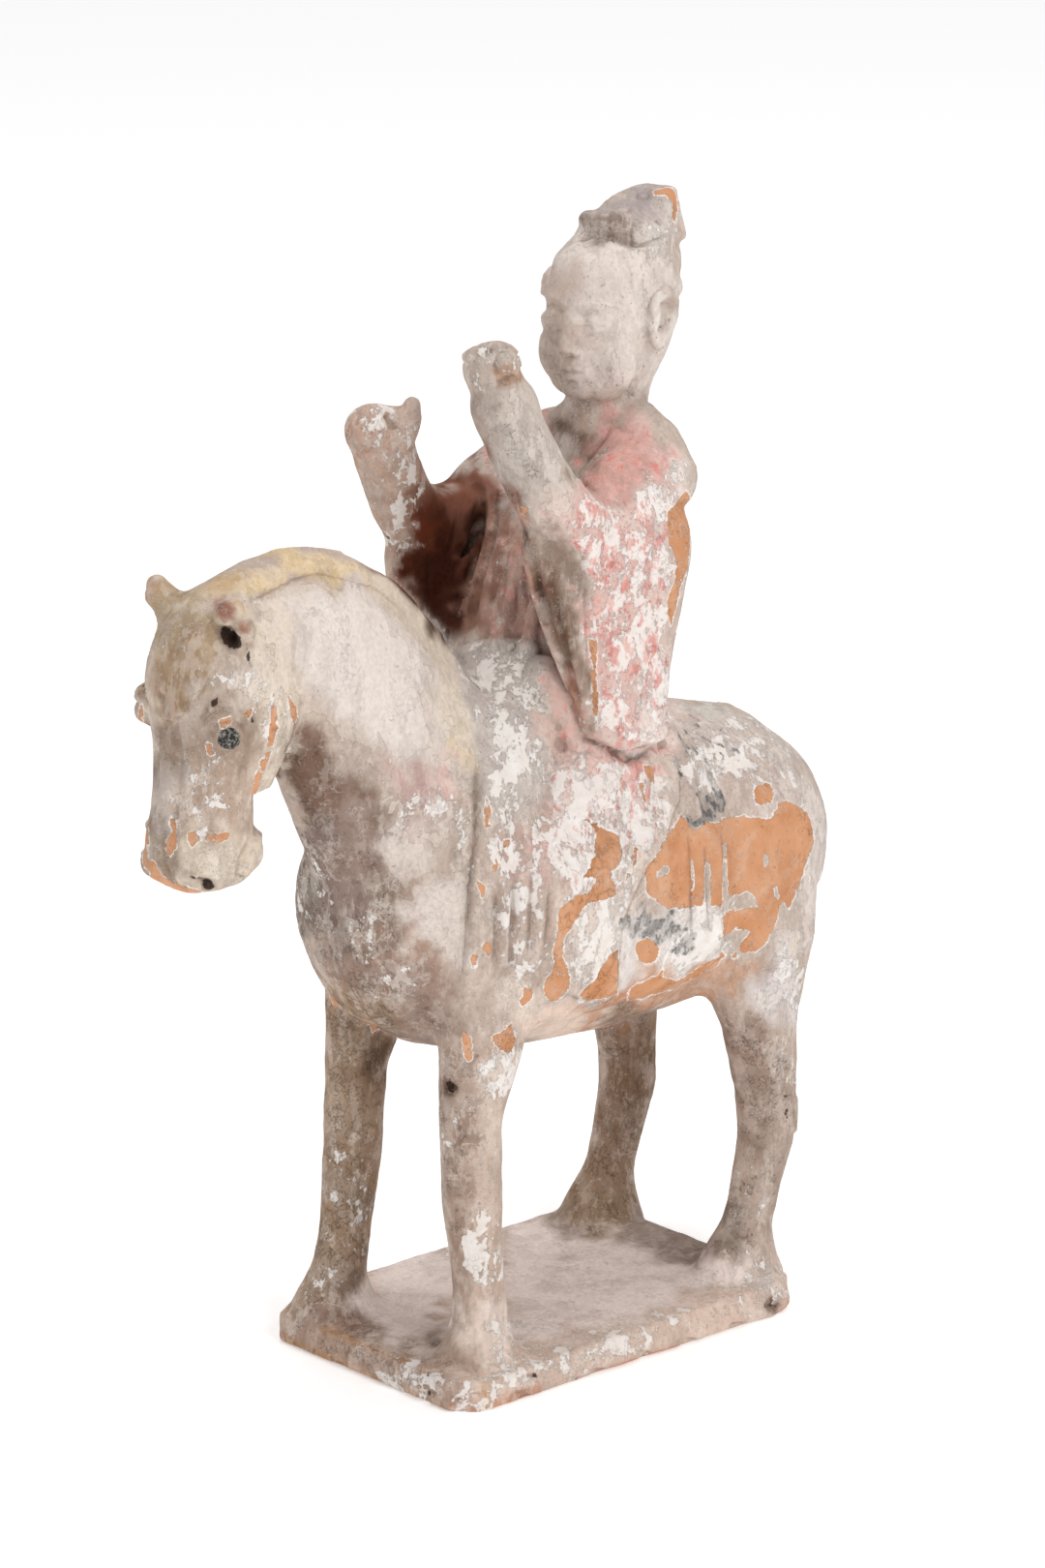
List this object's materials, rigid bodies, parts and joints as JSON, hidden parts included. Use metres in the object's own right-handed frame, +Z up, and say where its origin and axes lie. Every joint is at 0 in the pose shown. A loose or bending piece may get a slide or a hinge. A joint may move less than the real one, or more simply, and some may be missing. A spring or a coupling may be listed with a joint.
{
  "type": "terracotta horse and rider figure",
  "caption": "Painted terracotta horse standing on a thin slab, its rider in a wide-sleeved robe and small cap with both fists raised.",
  "frame": {"origin": "middle of the slab's underside", "axes": "+Z up; the horse and the rider face -Y; +X is the horse's left side"},
  "size_m": [0.0995, 0.2705, 0.3584],
  "materials": {
    "painted_terracotta": "unglazed orange terracotta under flaked white slip, faded pink, red, ochre and grey paint, and brown earth stains"
  },
  "bodies": {
    "root": {"horse_and_rider": "painted_terracotta"}
  },
  "joints": []
}
